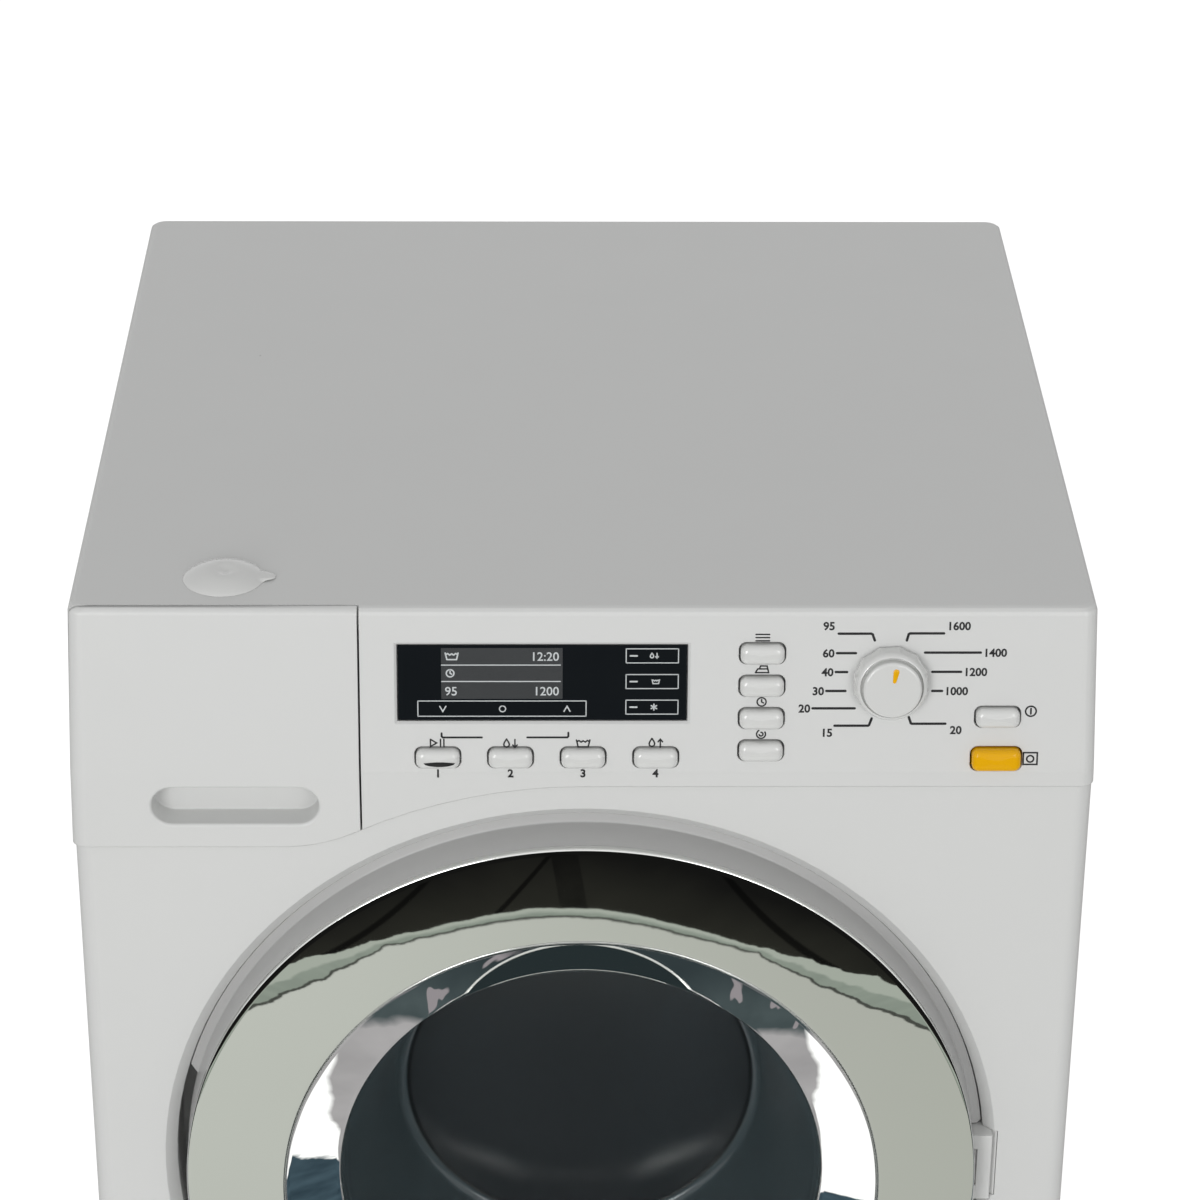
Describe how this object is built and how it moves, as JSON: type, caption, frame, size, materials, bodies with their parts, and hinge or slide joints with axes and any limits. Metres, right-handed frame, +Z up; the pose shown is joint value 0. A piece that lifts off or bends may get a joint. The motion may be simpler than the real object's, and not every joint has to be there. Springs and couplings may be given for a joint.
{
  "type": "toy washing machine",
  "caption": "Toy front-loading washing machine with a round chrome-ringed door, turning drum, detergent drawer, display, programme knob and push buttons.",
  "frame": {"origin": "middle of the bottom of the overall box, on the surface that the feet stand on", "axes": "+Z up, +Y towards the back, +X to the right seen from the front"},
  "size_m": [0.1846, 0.1906, 0.2621],
  "materials": {
    "white_plastic": "smooth semi-gloss white moulded plastic",
    "button_white": "glossy white moulded plastic",
    "button_yellow": "glossy yellow plastic",
    "inner_white": "satin white plastic",
    "grey_plastic": "satin light grey plastic",
    "display_lens": "near-black glossy lens",
    "chrome_plated": "bright chrome plating on plastic",
    "tinted_glass": "dark tinted clear plastic",
    "drum_silver": "silver coloured plastic",
    "steel": "plated steel",
    "bearing_brass": "sintered brass",
    "rubber_grey": "soft grey rubber",
    "circuit_green": "green laminate",
    "dark_plastic": "dark plastic and card"
  },
  "bodies": {
    "cabinet": {"body_shell": "white_plastic", "rear_panel": "white_plastic", "base_plate": "white_plastic", "feet": "rubber_grey", "top_cover": "white_plastic", "display_window": "display_lens", "drawer_housing": "grey_plastic", "selector_switch": "dark_plastic", "circuit_board": "circuit_green", "keypad_mat": "rubber_grey", "hinge_bracket": "grey_plastic", "hinge_pin": "steel", "catch_striker": "steel", "door_seal": "rubber_grey", "tub": "grey_plastic", "shaft_bush": "bearing_brass", "idler_axle": "steel", "gear_plate": "grey_plastic", "motor": "steel", "inlet_hose": "rubber_grey", "drain_hose": "rubber_grey", "drain_spout": "grey_plastic", "battery_box": "grey_plastic", "batteries": "dark_plastic", "battery_contacts": "steel", "battery_cover": "white_plastic", "speaker": "dark_plastic", "case_screws": "steel"},
    "door": {"door_frame": "inner_white", "chrome_ring": "chrome_plated", "glass_bezel": "chrome_plated", "door_glass": "tinted_glass", "door_hinge": "grey_plastic", "door_catch": "inner_white"},
    "drawer": {"drawer_front": "white_plastic", "drawer_tray": "inner_white"},
    "plug": {"filler_plug": "button_white"},
    "knob": {"programme_knob": "button_white", "knob_pointer": "button_yellow", "knob_axle": "grey_plastic"},
    "drum": {"drum": "drum_silver", "drum_lifters": "drum_silver", "drum_shaft": "steel", "drum_gear": "inner_white"},
    "idler": {"idler_gear": "inner_white"},
    "pinion": {"motor_pinion": "inner_white"},
    "start_button": {"start_button": "button_white"},
    "water_in_button": {"water_in_button": "button_white"},
    "wash_button": {"wash_button": "button_white"},
    "water_out_button": {"water_out_button": "button_white"},
    "option_button_1": {"option_button_1": "button_white"},
    "option_button_2": {"option_button_2": "button_white"},
    "option_button_3": {"option_button_3": "button_white"},
    "option_button_4": {"option_button_4": "button_white"},
    "power_button": {"power_button": "button_white"},
    "door_button": {"door_button": "button_yellow"}
  },
  "joints": [
    {"name": "door_swing", "type": "hinge", "parent": "cabinet", "child": "door", "pos_m": [0.0754, -0.08585, 0.1429], "axis": [0, 0, 1], "range_deg": [0, 90]},
    {"name": "drawer_slide", "type": "slide", "parent": "cabinet", "child": "drawer", "axis": [0, -1, 0], "range_m": [0, 0.05]},
    {"name": "plug_lift", "type": "slide", "parent": "cabinet", "child": "plug", "axis": [0, 0, 1], "range_m": [0, 0.008]},
    {"name": "knob_turn", "type": "hinge", "parent": "cabinet", "child": "knob", "pos_m": [0.0547, -0.08444, 0.24658], "axis": [0, 0.9869, -0.1613], "continuous": true},
    {"name": "drum_spin", "type": "hinge", "parent": "cabinet", "child": "drum", "pos_m": [0, -0.02665, 0.1429], "axis": [0, 1, 0], "continuous": true},
    {"name": "idler_spin", "type": "hinge", "parent": "cabinet", "child": "idler", "pos_m": [0.015, 0.03835, 0.11692], "axis": [0, 1, 0], "continuous": true},
    {"name": "pinion_spin", "type": "hinge", "parent": "cabinet", "child": "pinion", "pos_m": [0.015, 0.04135, 0.09292], "axis": [0, 1, 0], "continuous": true},
    {"name": "start_button_press", "type": "slide", "parent": "cabinet", "child": "start_button", "axis": [0, 0.9869, -0.1613], "range_m": [0, 0.0011], "stiffness_N_per_m": 400},
    {"name": "water_in_button_press", "type": "slide", "parent": "cabinet", "child": "water_in_button", "axis": [0, 0.9869, -0.1613], "range_m": [0, 0.0011], "stiffness_N_per_m": 400},
    {"name": "wash_button_press", "type": "slide", "parent": "cabinet", "child": "wash_button", "axis": [0, 0.9869, -0.1613], "range_m": [0, 0.0011], "stiffness_N_per_m": 400},
    {"name": "water_out_button_press", "type": "slide", "parent": "cabinet", "child": "water_out_button", "axis": [0, 0.9869, -0.1613], "range_m": [0, 0.0011], "stiffness_N_per_m": 400},
    {"name": "option_button_1_press", "type": "slide", "parent": "cabinet", "child": "option_button_1", "axis": [0, 0.9869, -0.1613], "range_m": [0, 0.0011], "stiffness_N_per_m": 400},
    {"name": "option_button_2_press", "type": "slide", "parent": "cabinet", "child": "option_button_2", "axis": [0, 0.9869, -0.1613], "range_m": [0, 0.0011], "stiffness_N_per_m": 400},
    {"name": "option_button_3_press", "type": "slide", "parent": "cabinet", "child": "option_button_3", "axis": [0, 0.9869, -0.1613], "range_m": [0, 0.0011], "stiffness_N_per_m": 400},
    {"name": "option_button_4_press", "type": "slide", "parent": "cabinet", "child": "option_button_4", "axis": [0, 0.9869, -0.1613], "range_m": [0, 0.0011], "stiffness_N_per_m": 400},
    {"name": "power_button_press", "type": "slide", "parent": "cabinet", "child": "power_button", "axis": [0, 0.9869, -0.1613], "range_m": [0, 0.0011], "stiffness_N_per_m": 400},
    {"name": "door_button_press", "type": "slide", "parent": "cabinet", "child": "door_button", "axis": [0, 0.9869, -0.1613], "range_m": [0, 0.0011], "stiffness_N_per_m": 400}
  ],
  "couplings": [
    {"joint": "idler_spin", "follows": "drum_spin", "ratio": -4},
    {"joint": "pinion_spin", "follows": "drum_spin", "ratio": 12}
  ]
}
